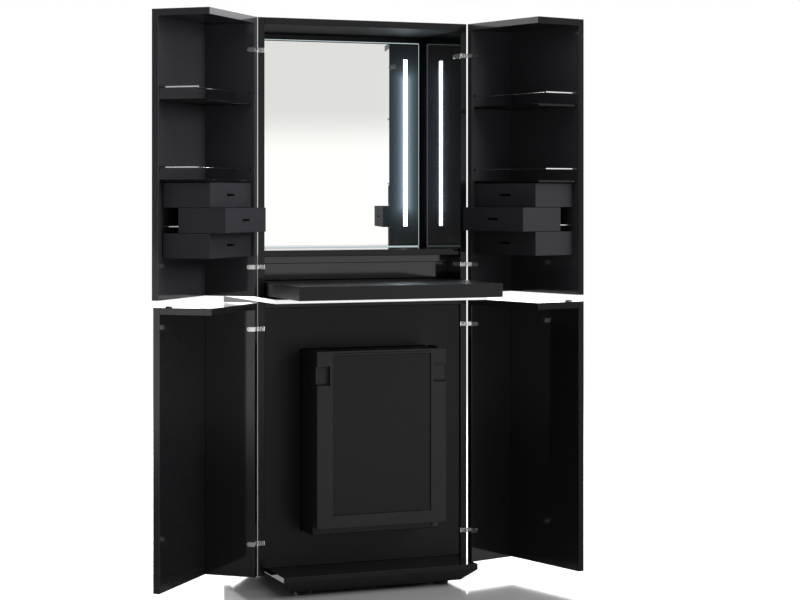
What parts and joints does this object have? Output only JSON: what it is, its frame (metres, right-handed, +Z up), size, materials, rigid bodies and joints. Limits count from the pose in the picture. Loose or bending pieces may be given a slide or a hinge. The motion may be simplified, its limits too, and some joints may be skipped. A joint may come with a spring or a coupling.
{
  "type": "bar cabinet",
  "caption": "Tall black bar cabinet with box doors above and below, door shelves and drawers, a mirrored bar niche with a light strip, a pull-out shelf and a built-in minibar.",
  "frame": {"origin": "middle of the footprint on the floor, with the doors and the shelf as they stand at rest", "axes": "+Z up, +X to the right and +Y to the back, seen by someone facing the open doors"},
  "size_m": [1.2118, 0.6396, 1.595],
  "materials": {
    "black_lacquer": "high gloss black lacquer on board",
    "gloss_black": "polished black lacquer on board",
    "satin_black": "satin black lacquer on board",
    "drawer_black": "satin black lacquer",
    "bright_steel": "polished steel",
    "polished_aluminium": "polished aluminium plate",
    "mirror_glass": "silvered mirror glass",
    "lamp_light": "opal diffuser",
    "black_plastic": "matte",
    "fridge_black": "satin black",
    "fridge_face": "fine textured black",
    "fridge_liner": "matte grey",
    "fridge_glass": "clear tempered",
    "seal_rubber": "matte",
    "black_steel": "satin black"
  },
  "bodies": {
    "cabinet": {"base_plate": "black_lacquer", "counter": "black_lacquer", "door_catches": "black_plastic", "feet": "black_plastic", "filler_panel": "satin_black", "fridge_hinge_brackets": "black_steel", "fridge_liner": "fridge_liner", "fridge_shelf": "fridge_glass", "fridge_shell": "fridge_black", "fridge_support": "satin_black", "hinge_carcass_leaves": "bright_steel", "light_strip": "lamp_light", "lower_back": "satin_black", "lower_left_side": "black_lacquer", "lower_right_side": "black_lacquer", "lower_top": "black_lacquer", "mid_plate": "polished_aluminium", "mirror": "mirror_glass", "mirror_carrier": "satin_black", "plinth": "black_lacquer", "recess_back": "gloss_black", "shelf_guides": "black_plastic", "upper_back": "satin_black", "upper_left_side": "black_lacquer", "upper_right_side": "black_lacquer", "upper_top": "black_lacquer"},
    "fridge_door": {"fridge_door": "fridge_black", "fridge_door_face": "fridge_face", "fridge_door_seal": "seal_rubber"},
    "lower_left_door": {"lower_left_door_front": "gloss_black", "lower_left_door_hinge_leaves": "bright_steel", "lower_left_door_keeper": "black_plastic", "lower_left_door_side": "gloss_black", "lower_left_door_top": "gloss_black"},
    "lower_right_door": {"lower_right_door_front": "gloss_black", "lower_right_door_hinge_leaves": "bright_steel", "lower_right_door_keeper": "black_plastic", "lower_right_door_side": "gloss_black", "lower_right_door_top": "gloss_black"},
    "shelf": {"pull_out_shelf": "satin_black"},
    "upper_left_door": {"upper_left_door_front": "gloss_black", "upper_left_door_hinge_leaves": "bright_steel", "upper_left_door_shelves": "black_lacquer", "upper_left_door_side": "gloss_black", "upper_left_door_top": "gloss_black", "upper_left_drawer_runners": "bright_steel", "upper_left_gallery_rails": "bright_steel"},
    "upper_left_drawer_1": {"upper_left_drawer_1": "drawer_black"},
    "upper_left_drawer_2": {"upper_left_drawer_2": "drawer_black"},
    "upper_left_drawer_3": {"upper_left_drawer_3": "drawer_black"},
    "upper_right_door": {"upper_right_door_front": "gloss_black", "upper_right_door_hinge_leaves": "bright_steel", "upper_right_door_shelves": "black_lacquer", "upper_right_door_side": "gloss_black", "upper_right_door_top": "gloss_black", "upper_right_drawer_runners": "bright_steel", "upper_right_gallery_rails": "bright_steel"},
    "upper_right_drawer_1": {"upper_right_drawer_1": "drawer_black"},
    "upper_right_drawer_2": {"upper_right_drawer_2": "drawer_black"},
    "upper_right_drawer_3": {"upper_right_drawer_3": "drawer_black"}
  },
  "joints": [
    {"name": "upper_left_door_hinge", "type": "hinge", "parent": "cabinet", "child": "upper_left_door", "pos_m": [-0.27146, -0.01636, 1.2075], "axis": [0, 0, -1], "range_deg": [-131, 0]},
    {"name": "upper_right_door_hinge", "type": "hinge", "parent": "cabinet", "child": "upper_right_door", "pos_m": [0.36054, -0.01636, 1.2075], "axis": [0, 0, 1], "range_deg": [-105, 0]},
    {"name": "shelf_slide", "type": "slide", "parent": "cabinet", "child": "shelf", "axis": [0, -1, 0], "range_m": [-0.18, 0]},
    {"name": "lower_left_door_hinge", "type": "hinge", "parent": "cabinet", "child": "lower_left_door", "pos_m": [-0.27146, -0.01636, 0.4225], "axis": [0, 0, -1], "range_deg": [-130, 40]},
    {"name": "lower_right_door_hinge", "type": "hinge", "parent": "cabinet", "child": "lower_right_door", "pos_m": [0.36054, -0.01636, 0.4225], "axis": [0, 0, 1], "range_deg": [-105, 65]},
    {"name": "upper_left_drawer_1_slide", "type": "slide", "parent": "upper_left_door", "child": "upper_left_drawer_1", "axis": [0.7547, -0.6561, 0], "range_m": [0, 0.1]},
    {"name": "upper_left_drawer_2_slide", "type": "slide", "parent": "upper_left_door", "child": "upper_left_drawer_2", "axis": [0.7547, -0.6561, 0], "range_m": [-0.045, 0.055]},
    {"name": "upper_left_drawer_3_slide", "type": "slide", "parent": "upper_left_door", "child": "upper_left_drawer_3", "axis": [0.7547, -0.6561, 0], "range_m": [0, 0.1]},
    {"name": "upper_right_drawer_1_slide", "type": "slide", "parent": "upper_right_door", "child": "upper_right_drawer_1", "axis": [-0.9659, -0.2588, 0], "range_m": [0, 0.1]},
    {"name": "upper_right_drawer_2_slide", "type": "slide", "parent": "upper_right_door", "child": "upper_right_drawer_2", "axis": [-0.9659, -0.2588, 0], "range_m": [-0.045, 0.055]},
    {"name": "upper_right_drawer_3_slide", "type": "slide", "parent": "upper_right_door", "child": "upper_right_drawer_3", "axis": [-0.9659, -0.2588, 0], "range_m": [0, 0.1]},
    {"name": "fridge_door_hinge", "type": "hinge", "parent": "cabinet", "child": "fridge_door", "pos_m": [0.22554, -0.13116, 0.43], "axis": [0, 0, 1], "range_deg": [0, 95]}
  ],
  "couplings": [
    {"joint": "upper_right_door_hinge", "follows": "upper_left_door_hinge", "ratio": 0.80153},
    {"joint": "shelf_slide", "follows": "upper_left_door_hinge", "m_per_rad": 0.078726}
  ]
}
